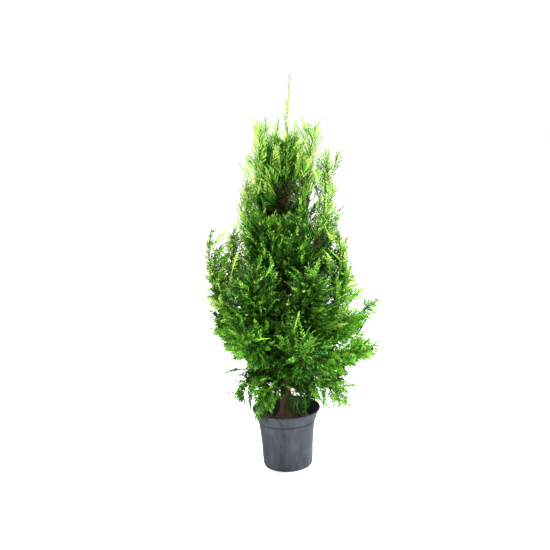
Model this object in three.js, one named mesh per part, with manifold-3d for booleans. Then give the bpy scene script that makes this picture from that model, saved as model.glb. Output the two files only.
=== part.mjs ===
// A potted thuja: a young evergreen with scale leaves, about 1.2 m tall, in a nursery pot.
// Millimetres, +Z up. The origin is the centre of the pot's flat underside.
// Azimuths are in degrees from +X towards +Y, and the front of the plant faces -Y.

import * as THREE from 'three';
import { mergeVertices } from 'three/addons/utils/BufferGeometryUtils.js';
import Module from 'manifold-3d';

const wasm = await Module();
wasm.setup();

// ---------------------------------------------------------------- driving dimensions

const GAP = 0.3; // clearance between pieces that touch
const SHARPEST = 0.2; // least cosine between a corner's push and a face, in grown()

const POT = {
  height: 210,
  rimRadius: 120,
  beadDrop: 6, // height of the rolled bead at the rim
  beadOut: 3, // how far the bead stands out from the collar
  ledgeHeight: 168, // the collar ends here
  collarRadius: 104, // the collar's outside at the ledge
  collarBend: [0.45, 0.55], // where the flare bends: share of its width, share of its height
  bodyRadius: 101, // the body's outside just under the ledge
  footRadius: 86,
  footChamfer: 2,
  wall: 2.2,
  floor: 2.6,
  segments: 28,
};

const DRAIN = { count: 6, radius: 6, ring: 60, length: 12, sides: 8 };

const COMPOST = {
  level: 172, // ground level, where the trunk is cut flat
  seatRadius: 34, // level patch round the trunk's foot
  edgeDrop: 7, // how far the surface sinks at the wall
  lump: 3, // height of the lumps
  waves: [9, 11, 23], // wavelengths of the lumps, over a full turn
};

const TRUNK = {
  top: 1365,
  radius: 16, // just above the flare
  tipRadius: 1.5,
  taper: 1.15, // 1 is an even cone
  flare: 6, // extra radius at the ground
  flareHeight: 16,
  roots: 5, // swellings round the foot
  lean: 54, // sideways travel of the tip
  leanPower: 2,
  wander: 5, // slow bends from front to back
  crowding: 1.25, // 1 spaces the rings evenly, and more draws them together at the foot
  sides: 9,
  steps: 18,
};

// The mass round the top of the trunk: its heights, its half width before it slims upwards.
const LEADER = { from: 1005, to: 1275, radius: 46, slim: 1.3, sides: 7, steps: 6 };

const FOLIAGE = {
  widest: 0.4, // where a mass is widest, as a share of its length
  swell: [0.8, 1.2, 0.68], // its size at its base, there and at its tip, against a plain ball
  full: 0.16, // 0 gives the outer part a round end, and more makes it blunter
  inner: 1.3, // depth on the side of the trunk against the outer depth
  point: 0.001, // keeps the very tip finite
  uneven: 0.24, // height of the lumps against the half width
  sides: 8,
  steps: 6,
  buried: 0.1, // share of the spine that the bough runs on inside its mass
};

const BOUGH = { sides: 5, steps: 3, tipShare: 0.5 };

// Each tier is a storey of the plant. A limb leaves the trunk at the height root, turns
// at its elbow (a share of its reach, and a height over its root) and ends at its tip.
// bare is the share of the limb without foliage; width and depth are half sizes of its mass.
const TIERS = [
  {
    name: 'top', elbow: [0.8, 60], bare: 0.17, width: 54, depth: 38, girth: 3.4,
    limbs: [
      { azimuth: 182, root: 905, reach: 68, tip: 1205 },
      { azimuth: 352, root: 885, reach: 126, tip: 1196, width: 42, depth: 36 },
      { azimuth: 118, root: 935, reach: 68, tip: 1214 },
      { azimuth: 48, root: 955, reach: 96, tip: 1212 },
    ],
  },
  {
    name: 'upper', elbow: [0.95, 90], bare: 0.17, width: 76, depth: 52, girth: 4.6,
    limbs: [
      {
        azimuth: 357, root: 600, reach: 188, tip: 1115, elbow: [0.78, 110],
        bare: 0.4, width: 38, depth: 30, inner: 0.6,
      },
      { azimuth: 178, root: 690, reach: 112, tip: 1025, width: 64, depth: 48 },
      { azimuth: 105, root: 720, reach: 140, tip: 1065 },
      { azimuth: 38, root: 700, reach: 145, tip: 1040 },
      { azimuth: 305, root: 640, reach: 122, tip: 965 },
      { azimuth: 236, root: 665, reach: 122, tip: 945 },
    ],
  },
  {
    name: 'middle', elbow: [1, 70], bare: 0.15, width: 104, depth: 62, girth: 5.6,
    limbs: [
      {
        azimuth: 186, root: 430, reach: 232, tip: 872, elbow: [1.1, 90],
        bare: 0.3, width: 56, depth: 40, inner: 0.9,
      },
      { azimuth: 160, root: 500, reach: 165, tip: 865, width: 74, depth: 56 },
      { azimuth: 100, root: 470, reach: 205, tip: 830, width: 112 },
      { azimuth: 45, root: 495, reach: 205, tip: 800 },
      { azimuth: 352, root: 460, reach: 200, tip: 850, elbow: [1.2, 75], width: 84, depth: 56 },
      { azimuth: 300, root: 485, reach: 195, tip: 745 },
      { azimuth: 240, root: 455, reach: 190, tip: 760 },
    ],
  },
  {
    name: 'lower', elbow: [0.55, 60], bare: 0.12, width: 112, depth: 60, girth: 5.4,
    limbs: [
      { azimuth: 4, root: 400, reach: 340, tip: 585, width: 74, depth: 52 },
      { azimuth: 336, root: 340, reach: 350, tip: 445, width: 84, depth: 52 },
      { azimuth: 55, root: 365, reach: 290, tip: 500 },
      { azimuth: 110, root: 395, reach: 285, tip: 520, width: 124 },
      { azimuth: 163, root: 360, reach: 255, tip: 515, width: 100 },
      { azimuth: 232, root: 385, reach: 260, tip: 470 },
      { azimuth: 285, root: 350, reach: 265, tip: 440 },
    ],
  },
  {
    name: 'skirt', elbow: [0.55, 45], bare: 0.12, width: 84, depth: 38, girth: 4,
    limbs: [
      { azimuth: 338, root: 300, reach: 236, tip: 228, depth: 32 },
      { azimuth: 187, root: 325, reach: 222, tip: 275, depth: 26 },
      { azimuth: 95, root: 290, reach: 230, tip: 262, width: 124, depth: 46 },
      { azimuth: 238, root: 290, reach: 172, tip: 222, width: 56, depth: 30 },
    ],
  },
];

const FINISH = {
  bark: new THREE.MeshStandardMaterial({ color: 0x6b4a38, roughness: 0.92, metalness: 0 }),
  foliage: new THREE.MeshStandardMaterial({ color: 0x3f8f1c, roughness: 0.7, metalness: 0 }),
  pot: new THREE.MeshStandardMaterial({ color: 0x4d5459, roughness: 0.5, metalness: 0 }),
  compost: new THREE.MeshStandardMaterial({ color: 0x3a2a20, roughness: 1, metalness: 0 }),
};

// ---------------------------------------------------------------- tools for solids

// The geometry with position only and its shared corners merged.
function welded(geometry) {
  const bare = geometry.clone();
  bare.deleteAttribute('normal');
  bare.deleteAttribute('uv');
  return mergeVertices(bare, 1e-4);
}

// Moves every corner of a closed geometry to where place(x, y, z) puts it.
function moulded(geometry, place) {
  const shape = welded(geometry);
  const corners = shape.attributes.position;
  for (let i = 0; i < corners.count; i += 1) {
    const moved = place(corners.getX(i), corners.getY(i), corners.getZ(i));
    corners.setXYZ(i, moved.x, moved.y, moved.z);
  }
  return shape;
}

// The same shape with every face moved out by the distance: each corner goes along the mean
// of the faces that meet there, and further where they make a sharp edge.
function grown(geometry, distance) {
  const shape = welded(geometry);
  const corners = shape.attributes.position;
  const faces = [];
  for (let first = 0; first < shape.index.count; first += 3) {
    const trio = [0, 1, 2].map((k) => shape.index.getX(first + k));
    const triangle = new THREE.Triangle().setFromAttributeAndIndices(corners, ...trio);
    faces.push({ trio, facing: triangle.getNormal(new THREE.Vector3()) });
  }
  const pushes = Array.from({ length: corners.count }, () => new THREE.Vector3());
  faces.forEach(({ trio, facing }) => trio.forEach((i) => pushes[i].add(facing)));
  pushes.forEach((push) => push.normalize());
  const travel = pushes.map(() => distance);
  faces.forEach(({ trio, facing }) => trio.forEach((i) => {
    const agreement = Math.max(pushes[i].dot(facing), SHARPEST);
    travel[i] = Math.max(travel[i], distance / agreement);
  }));
  pushes.forEach((push, i) => {
    const moved = new THREE.Vector3().fromBufferAttribute(corners, i).addScaledVector(push, travel[i]);
    corners.setXYZ(i, moved.x, moved.y, moved.z);
  });
  return shape;
}

function solidOf(geometry) {
  const shape = welded(geometry);
  return new wasm.Manifold(new wasm.Mesh({
    numProp: 3,
    vertProperties: new Float32Array(shape.attributes.position.array),
    triVerts: new Uint32Array(shape.index.array),
  }));
}

function geometryOf(solid) {
  const mesh = solid.getMesh();
  const shape = new THREE.BufferGeometry();
  shape.setAttribute('position', new THREE.BufferAttribute(mesh.vertProperties, 3));
  shape.setIndex(new THREE.BufferAttribute(mesh.triVerts, 1));
  shape.computeVertexNormals();
  return shape;
}

// The body with the most volume, without the chips that a cut leaves.
function largestBody(solid) {
  const bodies = solid.decompose();
  return bodies.reduce((best, body) => (body.volume() > best.volume() ? body : best));
}

// The solid less every cutter whose box meets its own.
function cutBy(solid, cutters) {
  const box = solid.boundingBox();
  const meets = (cutter) => {
    const other = cutter.boundingBox();
    return [0, 1, 2].every((k) => other.min[k] < box.max[k] && other.max[k] > box.min[k]);
  };
  const cut = cutters.filter(meets).reduce((rest, cutter) => rest.subtract(cutter), solid);
  return largestBody(cut);
}

function named(name, geometry, material) {
  const mesh = new THREE.Mesh(geometry, material);
  mesh.name = name;
  return mesh;
}

const { lerp, degToRad } = THREE.MathUtils;

// ---------------------------------------------------------------- pot and compost

// Outside radius of the pot's body at height z.
function bodyRadius(z) {
  return lerp(POT.footRadius, POT.bodyRadius, z / POT.ledgeHeight);
}

// Thin-walled pot: tapered body, ledge, flared collar, rolled rim and drain holes.
function pot() {
  const { height, wall, floor, ledgeHeight, footChamfer, beadDrop, beadOut } = POT;
  const collarTop = POT.rimRadius - beadOut;
  const bendRadius = lerp(POT.collarRadius, collarTop, POT.collarBend[0]);
  const bendHeight = lerp(ledgeHeight, height - beadDrop, POT.collarBend[1]);
  const profile = [
    [0, 0],
    [POT.footRadius - footChamfer, 0],
    [bodyRadius(footChamfer), footChamfer],
    [bodyRadius(ledgeHeight), ledgeHeight],
    [POT.collarRadius, ledgeHeight + 1],
    [bendRadius, bendHeight],
    [collarTop, height - beadDrop],
    [POT.rimRadius, height - beadDrop],
    [POT.rimRadius, height - beadDrop / 4],
    [POT.rimRadius - beadOut / 2, height],
    [collarTop - wall, height],
    [bendRadius - wall, bendHeight],
    [POT.collarRadius - wall, ledgeHeight + 3],
    [bodyRadius(ledgeHeight) - wall, ledgeHeight - 1],
    [bodyRadius(floor) - wall, floor],
    [0, floor],
  ].map(([r, z]) => new THREE.Vector2(r, z));
  const shell = solidOf(new THREE.LatheGeometry(profile, POT.segments).rotateX(Math.PI / 2));
  const drains = Array.from({ length: DRAIN.count }, (_, k) => {
    const angle = (2 * Math.PI * k) / DRAIN.count;
    const drain = new THREE.CylinderGeometry(DRAIN.radius, DRAIN.radius, DRAIN.length, DRAIN.sides);
    drain.rotateX(Math.PI / 2);
    drain.translate(DRAIN.ring * Math.cos(angle), DRAIN.ring * Math.sin(angle), 0);
    return solidOf(drain);
  });
  return geometryOf(cutBy(shell, drains));
}

// Compost that fills the pot up to ground level, lumpy outside the trunk's level seat.
function compost() {
  const { level, seatRadius, edgeDrop, lump, waves } = COMPOST;
  const foot = POT.floor + GAP;
  const inside = (z) => bodyRadius(z) - POT.wall - GAP;
  const shoulder = level - edgeDrop;
  const profile = [
    [0, foot],
    [inside(foot), foot],
    [inside(shoulder), shoulder],
    [lerp(seatRadius, inside(shoulder), 0.66), level - edgeDrop / 2],
    [lerp(seatRadius, inside(shoulder), 0.33), level - edgeDrop / 4],
    [seatRadius, level],
    [0, level],
  ].map(([r, z]) => new THREE.Vector2(r, z));
  const fill = new THREE.LatheGeometry(profile, POT.segments).rotateX(Math.PI / 2);
  return moulded(fill, (x, y, z) => {
    const away = Math.hypot(x, y) - seatRadius;
    const open = away > 1 && z > shoulder + 1;
    const rise = open ? lump * Math.sin(x / waves[0] + 1) * Math.cos(y / waves[1] + x / waves[2]) : 0;
    return new THREE.Vector3(x, y, z + rise);
  });
}

// ---------------------------------------------------------------- trunk

// Height as a share of the trunk, 0 at the ground and 1 at the tip.
function trunkShare(z) {
  return (z - COMPOST.level) / (TRUNK.top - COMPOST.level);
}

function trunkCentre(z) {
  const share = trunkShare(z);
  return new THREE.Vector3(
    TRUNK.lean * share ** TRUNK.leanPower,
    TRUNK.wander * Math.sin(1.5 * Math.PI * share),
    z,
  );
}

function trunkRadius(z, angle) {
  const cone = lerp(TRUNK.tipRadius, TRUNK.radius, (1 - trunkShare(z)) ** TRUNK.taper);
  const flare = TRUNK.flare * Math.exp((COMPOST.level - z) / TRUNK.flareHeight);
  return cone + flare * (1 + 0.4 * Math.cos(TRUNK.roots * angle));
}

// One tapering stem that runs from its flat cut at ground level up to the tip.
function trunk() {
  const foot = COMPOST.level + GAP;
  const height = TRUNK.top - foot;
  const post = new THREE.CylinderGeometry(1, 1, 1, TRUNK.sides, TRUNK.steps);
  return moulded(post, (x, y, z) => {
    const share = (y + 0.5) ** TRUNK.crowding;
    const level = foot + height * share;
    const angle = Math.atan2(-z, x);
    const radius = Math.hypot(x, z) * trunkRadius(level, angle);
    const centre = trunkCentre(level);
    centre.x += radius * Math.cos(angle);
    centre.y += radius * Math.sin(angle);
    return centre;
  });
}

// ---------------------------------------------------------------- limbs

// The line that a limb follows, from the middle of the trunk to its furthest tip.
function spineOf(tier, limb) {
  const angle = degToRad(limb.azimuth);
  const root = trunkCentre(limb.root);
  const tip = new THREE.Vector3(limb.reach * Math.cos(angle), limb.reach * Math.sin(angle), limb.tip);
  const [out, rise] = limb.elbow ?? tier.elbow;
  const elbow = new THREE.Vector3(
    lerp(root.x, tip.x, out),
    lerp(root.y, tip.y, out),
    limb.root + rise,
  );
  return new THREE.QuadraticBezierCurve3(root, elbow, tip);
}

// A point beside a limb's spine: across it on the level, and through it at right angles
// to both, where a positive distance leads outwards or down, away from the trunk.
function beside({ spine, azimuth }, share, across, through) {
  const angle = degToRad(azimuth);
  const side = new THREE.Vector3(-Math.sin(angle), Math.cos(angle), 0);
  const away = side.clone().cross(spine.getTangent(share));
  return spine.getPoint(share).addScaledVector(side, across).addScaledVector(away, through);
}

// One tapering limb that starts inside the trunk and ends just inside its mass.
function bough(limb) {
  const { bare, girth } = limb;
  const end = bare + FOLIAGE.buried;
  const rod = new THREE.CylinderGeometry(1, 1, 1, BOUGH.sides, BOUGH.steps);
  return moulded(rod, (x, y, z) => {
    const along = y + 0.5;
    const radius = girth * lerp(1, BOUGH.tipShare, along);
    return beside(limb, along * end, x * radius, z * radius);
  });
}

// Slow swellings of a mass, from -1 to 1, different for each seed.
function lumps(angle, along, seed) {
  return 0.45 * Math.sin(2 * angle + 5 * along + 1.7 * seed)
    + 0.35 * Math.sin(3 * angle - 7 * along + 2.9 * seed)
    + 0.2 * Math.cos(13 * along + 4.1 * seed);
}

// Size of a mass along its length, against a plain ball: slim at the base, full outside.
function bulk(along) {
  const { widest, swell: [base, middle, tip], full, point } = FOLIAGE;
  if (along < widest) return lerp(base, middle, along / widest);
  const outer = (along - widest) / (1 - widest);
  return lerp(middle, tip, outer) * (1 - outer * outer + point) ** -full;
}

// One mass of foliage: an uneven blob round the outer part of its spine.
function foliage(limb, seed) {
  const { bare, width, depth, inner } = limb;
  const ball = new THREE.SphereGeometry(1, FOLIAGE.sides, FOLIAGE.steps);
  return moulded(ball, (x, y, z) => {
    const along = (y + 1) / 2;
    const size = bulk(along) * (1 + FOLIAGE.uneven * lumps(Math.atan2(z, x), along, seed));
    const through = z * depth * (z < 0 ? inner : 1);
    return beside(limb, lerp(bare, 1, along), x * width * size, through * size);
  });
}

// The mass round the upper trunk, which runs through it.
function leader() {
  const { from, to, radius, slim, sides, steps } = LEADER;
  const ball = new THREE.SphereGeometry(1, sides, steps);
  return moulded(ball, (x, y, z) => {
    const along = (y + 1) / 2;
    const angle = Math.atan2(-z, x);
    const swell = 1 + FOLIAGE.uneven * lumps(angle, along, 0);
    const size = radius * Math.hypot(x, z) * swell * (slim - along);
    const centre = trunkCentre(lerp(from, to, along));
    centre.x += size * Math.cos(angle);
    centre.y += size * Math.sin(angle);
    return centre;
  });
}

// Every limb of every tier with its full name, its spine and its own or its tier's sizes.
const LIMBS = TIERS.flatMap((tier) => tier.limbs.map((limb, k) => ({
  name: `${tier.name}_${k + 1}`,
  azimuth: limb.azimuth,
  spine: spineOf(tier, limb),
  girth: tier.girth,
  bare: limb.bare ?? tier.bare,
  width: limb.width ?? tier.width,
  depth: limb.depth ?? tier.depth,
  inner: limb.inner ?? FOLIAGE.inner,
})));

// ---------------------------------------------------------------- assembly

const plant = new THREE.Group();

const potShape = pot();
const compostShape = compost();
const trunkShape = trunk();
plant.add(named('pot', potShape, FINISH.pot));
plant.add(named('compost', compostShape, FINISH.compost));
plant.add(named('trunk', trunkShape, FINISH.bark));

const cutters = [solidOf(grown(trunkShape, GAP))];
for (const limb of LIMBS) {
  const shape = bough(limb);
  const solid = cutBy(solidOf(shape), cutters);
  plant.add(named(`bough_${limb.name}`, geometryOf(solid), FINISH.bark));
  cutters.push(solidOf(grown(shape, GAP)));
}

cutters.push(solidOf(grown(potShape, GAP)));
const masses = [
  { name: 'leader', shape: leader() },
  ...LIMBS.map((limb, k) => ({ name: limb.name, shape: foliage(limb, k + 1) })),
];
for (const { name, shape } of masses) {
  const solid = cutBy(solidOf(shape), cutters);
  plant.add(named(`foliage_${name}`, geometryOf(solid), FINISH.foliage));
  cutters.push(solidOf(grown(shape, GAP)));
}

export default plant;
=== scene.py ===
# %% [markdown]
# # A thuja in its nursery pot
# A thuja is a conifer whose leaves are tiny scales pressed flat to the twigs. The twigs branch in one
# plane, so the plant is a heap of flat, feathery sprays. This lesson keeps the CAD frame as it is and grows
# the bark, the sprays, the pot and the compost round it, as arrays worked out with numpy.

# %% The frame
import math

import bpy
import numpy as np
from mathutils import Matrix, Vector
from mathutils.bvhtree import BVHTree


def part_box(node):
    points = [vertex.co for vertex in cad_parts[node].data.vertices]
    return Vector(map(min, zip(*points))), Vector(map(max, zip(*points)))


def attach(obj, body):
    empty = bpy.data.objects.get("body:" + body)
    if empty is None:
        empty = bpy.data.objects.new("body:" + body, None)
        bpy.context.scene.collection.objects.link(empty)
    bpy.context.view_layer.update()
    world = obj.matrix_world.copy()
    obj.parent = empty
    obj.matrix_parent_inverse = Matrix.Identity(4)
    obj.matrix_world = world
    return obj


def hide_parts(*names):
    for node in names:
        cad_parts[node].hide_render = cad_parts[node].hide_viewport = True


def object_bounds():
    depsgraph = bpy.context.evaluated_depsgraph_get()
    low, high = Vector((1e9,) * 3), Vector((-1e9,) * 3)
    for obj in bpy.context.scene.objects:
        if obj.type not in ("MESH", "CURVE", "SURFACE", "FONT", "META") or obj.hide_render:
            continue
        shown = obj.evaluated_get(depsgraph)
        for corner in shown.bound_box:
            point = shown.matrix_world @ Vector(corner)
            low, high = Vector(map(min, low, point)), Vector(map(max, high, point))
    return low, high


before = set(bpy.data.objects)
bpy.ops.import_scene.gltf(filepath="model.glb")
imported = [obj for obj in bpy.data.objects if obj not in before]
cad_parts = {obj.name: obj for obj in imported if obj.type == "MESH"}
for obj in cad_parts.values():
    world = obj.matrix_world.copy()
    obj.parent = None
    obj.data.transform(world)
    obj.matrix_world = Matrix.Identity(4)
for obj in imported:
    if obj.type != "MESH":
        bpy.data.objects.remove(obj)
cad_low, cad_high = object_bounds()
print("nodes", len(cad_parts), "box", tuple(cad_low), tuple(cad_high))


# %% [markdown]
# ## Tools for rows of vectors
# Every shape below is an array with one row for each point or each shoot. A few short helpers keep the
# formulas readable. One seeded generator deals out all the chance, so that each run grows the same plant.

# %% Vectors, colours and chance
MM = 0.001
UP = np.array([0.0, 0.0, 1.0])
GOLDEN_ANGLE = math.pi * (3 - math.sqrt(5))
chance = np.random.default_rng(1907)


def unit(rows):
    """Each row divided by its own length."""
    return rows / np.maximum(np.linalg.norm(rows, axis=-1, keepdims=True), 1e-12)


def dot(a, b):
    """The scalar product of each pair of rows, kept as a column."""
    return (a * b).sum(axis=-1, keepdims=True)


def square_to(rows, axis):
    """Each row less its part along the axis, made a unit vector."""
    return unit(rows - dot(rows, axis) * axis)


def linear(red, green, blue):
    """A screen colour from 0 to 255 as the linear values that a shader takes, with alpha 1."""
    share = np.array([red, green, blue]) / 255
    low = share / 12.92
    high = ((share + 0.055) / 1.055) ** 2.4
    return (*np.where(share <= 0.04045, low, high), 1.0)


def level_ways(angle):
    """The level direction at each angle round the axis: (cos a, sin a, 0)."""
    return np.stack([np.cos(angle), np.sin(angle), np.zeros(len(angle))], axis=1)


def eased(t):
    """0 to 1 with a level start and end: 3t² − 2t³."""
    t = np.clip(t, 0, 1)
    return t * t * (3 - 2 * t)


def relief(rows, columns, cells_down, cells_round, seed):
    """Smooth random heights from 0 to 1 on a grid that closes round its columns.

    Random heights stand on a coarse lattice of cells. A grid point takes the eased mean of the four round it.
    """
    lattice = np.random.default_rng(seed).random((cells_down + 2, cells_round))
    down = np.linspace(0, cells_down, rows)[:, None]
    across = (np.arange(columns) * cells_round / columns)[None, :]
    i, j = np.floor(down).astype(int), np.floor(across).astype(int)
    u, v = eased(down - i), eased(across - j)
    right = (j + 1) % cells_round
    upper = lattice[i, j] * (1 - v) + lattice[i, right] * v
    lower = lattice[i + 1, j] * (1 - v) + lattice[i + 1, right] * v
    return upper * (1 - u) + lower * u


# %% [markdown]
# ## From arrays to a piece
# A mesh in Blender is a list of points, a list of face corners and where each face starts in it. Arrays go in
# whole through foreach_set, which is hundreds of times faster than adding faces one by one. Each piece rides
# on the plant's only body and hides the CAD solids it stands for.

# %% The piece maker
def piece(name, points, face_sets, finishes, replaced=(), tints=None, smooth=False):
    """A mesh object at the origin. Each face set is a table of corner numbers, one row to a face.

    Tints give each face the number of its finish in the list.
    """
    points = np.asarray(points, float).reshape(-1, 3)
    corners = np.concatenate([faces.ravel() for faces in face_sets])
    sizes = np.concatenate([np.full(len(faces), faces.shape[1]) for faces in face_sets])
    mesh = bpy.data.meshes.new(name)
    mesh.vertices.add(len(points))
    mesh.vertices.foreach_set("co", points.ravel())
    mesh.loops.add(len(corners))
    mesh.loops.foreach_set("vertex_index", corners.astype(np.int32))
    mesh.polygons.add(len(sizes))
    mesh.polygons.foreach_set("loop_start", (np.cumsum(sizes) - sizes).astype(np.int32))
    if tints is not None:
        mesh.polygons.foreach_set("material_index", tints.astype(np.int32))
    mesh.polygons.foreach_set("use_smooth", np.full(len(sizes), smooth))
    mesh.update(calc_edges=True)
    mesh.validate()
    for finish in finishes:
        mesh.materials.append(finish)
    made = bpy.data.objects.new(name, mesh)
    bpy.context.scene.collection.objects.link(made)
    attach(made, "root")
    if replaced:
        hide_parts(*replaced)
    return made


def grid_faces(rows, columns, first=0):
    """Four-cornered faces of a grid that closes round its columns, facing out when the rows go up."""
    i, j = np.meshgrid(np.arange(rows - 1), np.arange(columns), indexing="ij")
    near, far = i * columns + j, i * columns + (j + 1) % columns
    return first + np.stack([near, far, far + columns, near + columns], axis=-1).reshape(-1, 4)


# %% [markdown]
# ## A shared mottle
# Bark, plastic and compost all vary in soft blotches with finer specks in them. One node group holds that
# effect: two noises, one six times finer, give a mask for the colour and a height for the bump.

# %% The mottle group and the finishes that use it
def mottle_group():
    """Builds the group: coarse and fine noise on the same vector, mixed and stretched to full contrast."""
    group = bpy.data.node_groups.new("mottle", "ShaderNodeTree")
    for name, kind, way in (
        ("Vector", "NodeSocketVector", "INPUT"),
        ("Scale", "NodeSocketFloat", "INPUT"),
        ("Fine share", "NodeSocketFloat", "INPUT"),
        ("Mask", "NodeSocketFloat", "OUTPUT"),
        ("Height", "NodeSocketFloat", "OUTPUT"),
    ):
        group.interface.new_socket(name, in_out=way, socket_type=kind)
    nodes, links = group.nodes, group.links
    source, sink = nodes.new("NodeGroupInput"), nodes.new("NodeGroupOutput")
    coarse, fine = nodes.new("ShaderNodeTexNoise"), nodes.new("ShaderNodeTexNoise")
    finer = nodes.new("ShaderNodeMath")
    finer.operation = "MULTIPLY"
    finer.inputs[1].default_value = 6.0
    mix = nodes.new("ShaderNodeMix")
    contrast = nodes.new("ShaderNodeMapRange")
    contrast.inputs["From Min"].default_value = 0.35
    contrast.inputs["From Max"].default_value = 0.65
    links.new(source.outputs["Scale"], finer.inputs[0])
    for noise, scale, end in ((coarse, source.outputs["Scale"], "A"), (fine, finer.outputs[0], "B")):
        noise.inputs["Detail"].default_value = 3.0
        links.new(source.outputs["Vector"], noise.inputs["Vector"])
        links.new(scale, noise.inputs["Scale"])
        links.new(noise.outputs["Fac"], mix.inputs[end])
    links.new(source.outputs["Fine share"], mix.inputs["Factor"])
    links.new(mix.outputs["Result"], contrast.inputs["Value"])
    links.new(contrast.outputs["Result"], sink.inputs["Mask"])
    links.new(mix.outputs["Result"], sink.inputs["Height"])
    return group


MOTTLE = mottle_group()


def mottled(name, dark, light, scale, stretch, fine_share, roughness, bump, specular=0.3):
    """A finish that runs from a dark to a light colour by the mottle, with the same mottle as its bump.

    Stretch scales the pattern's space along X, Y and Z: a small third number draws it out upwards.
    """
    material = bpy.data.materials.new(name)
    material.use_nodes = True
    nodes, links = material.node_tree.nodes, material.node_tree.links
    shader = nodes["Principled BSDF"]
    place = nodes.new("ShaderNodeTexCoord")
    mapping = nodes.new("ShaderNodeMapping")
    mapping.inputs["Scale"].default_value = stretch
    pattern = nodes.new("ShaderNodeGroup")
    pattern.node_tree = MOTTLE
    pattern.inputs["Scale"].default_value = scale
    pattern.inputs["Fine share"].default_value = fine_share
    ramp = nodes.new("ShaderNodeValToRGB")
    ramp.color_ramp.elements[0].color = linear(*dark)
    ramp.color_ramp.elements[1].color = linear(*light)
    rough = nodes.new("ShaderNodeMapRange")
    rough.inputs["To Min"].default_value = roughness[0]
    rough.inputs["To Max"].default_value = roughness[1]
    dent = nodes.new("ShaderNodeBump")
    dent.inputs["Strength"].default_value = bump[0]
    dent.inputs["Distance"].default_value = bump[1]
    links.new(place.outputs["Object"], mapping.inputs["Vector"])
    links.new(mapping.outputs["Vector"], pattern.inputs["Vector"])
    links.new(pattern.outputs["Mask"], ramp.inputs["Fac"])
    links.new(pattern.outputs["Mask"], rough.inputs["Value"])
    links.new(pattern.outputs["Height"], dent.inputs["Height"])
    links.new(ramp.outputs["Color"], shader.inputs["Base Color"])
    links.new(rough.outputs["Result"], shader.inputs["Roughness"])
    links.new(dent.outputs["Normal"], shader.inputs["Normal"])
    shader.inputs["Specular IOR Level"].default_value = specular
    return material


BARK = mottled("stringy_bark", (50, 42, 26), (112, 96, 68), scale=90, stretch=(1, 1, 0.12),
               fine_share=0.45, roughness=(0.8, 0.95), bump=(0.5, 1.5 * MM))
TWIG_BARK = mottled("twig_bark", (60, 40, 25), (118, 84, 54), scale=60, stretch=(1, 1, 0.4),
                    fine_share=0.3, roughness=(0.7, 0.9), bump=(0.3, 0.6 * MM))
PLASTIC = mottled("grey_plastic", (42, 45, 50), (69, 72, 79), scale=14, stretch=(1, 1, 0.3),
                  fine_share=0.35, roughness=(0.5, 0.68), bump=(0.12, 0.6 * MM), specular=0.03)
# Partly painted shade: the compost's colours are darkened for the shade of the crown over it.
COMPOST = mottled("moist_and_shaded_compost", (16, 14, 8), (54, 45, 30), scale=70, stretch=(1, 1, 1),
                  fine_share=0.6, roughness=(0.85, 1.0), bump=(0.8, 3 * MM))
print("finishes", [finish.name for finish in (BARK, TWIG_BARK, PLASTIC, COMPOST)])


# %% [markdown]
# ## Leaf colours
# A spray's colour has a place: new growth at the tips is yellow-green, the twigs of earlier years behind it
# are deep green, and inside the crown they turn bronze. The dark tints deep in the crown are also painted
# shade, and the pale ones at its edge are partly painted light. So each tint is a plain colour of its own,
# and each leaf is dealt one of them by where it sits on its spray. The lowest boughs get less sun, and their
# new growth is a purer green, so they have a list of their own from the bright tints up.

# %% The tints, from shaded to new growth
def leaf_finish(name, colour, roughness):
    """One plain leaf colour, given from 0 to 255, with the slight gloss of a waxy scale."""
    material = bpy.data.materials.new(name)
    material.use_nodes = True
    shader = material.node_tree.nodes["Principled BSDF"]
    shader.inputs["Base Color"].default_value = linear(*colour)
    shader.inputs["Roughness"].default_value = roughness
    shader.inputs["Specular IOR Level"].default_value = 0.12
    return material


LEAF_TINTS = [leaf_finish("leaf_" + name, colour, roughness) for name, colour, roughness in (
    ("bronze", (44, 44, 16), 0.6),
    ("shaded", (22, 48, 12), 0.5),
    ("deep", (38, 74, 20), 0.45),
    ("green", (54, 107, 24), 0.45),
    ("bright", (88, 156, 38), 0.42),
    ("fresh", (138, 192, 62), 0.42),
    ("lime", (192, 220, 108), 0.42),
)]
BRONZE, SHADED, DEEP, GREEN, BRIGHT, FRESH, LIME = range(len(LEAF_TINTS))
LOWER_TINTS = [
    *LEAF_TINTS[:BRIGHT],
    leaf_finish("leaf_vivid", (84, 157, 38), 0.42),
    leaf_finish("leaf_vivid_tip", (126, 192, 64), 0.42),
    LEAF_TINTS[FRESH],
]
YOUNG_STEM = leaf_finish("young_stem", (168, 184, 84), 0.5)
print("leaf tints", [tint.name for tint in LEAF_TINTS])


# %% [markdown]
# ## Reading the frame's limbs
# The sprays have to grow on from the boughs that the frame holds. A bough's solid is a row of five-cornered
# rings with a closing corner at its end, so the six corners nearest the mass's tip give its end, and the five
# before them its direction. The tip is the mass's furthest corner from the bough.

# %% Limbs as parabolas
TIERS = ("leader", "top", "upper", "middle", "lower", "skirt")
RING = 5


def corners_of(node):
    """The corners of a CAD node, each one once, in metres."""
    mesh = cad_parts[node].data
    flat = np.empty(len(mesh.vertices) * 3)
    mesh.vertices.foreach_get("co", flat)
    return np.unique(flat.reshape(-1, 3).round(5), axis=0)


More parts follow.
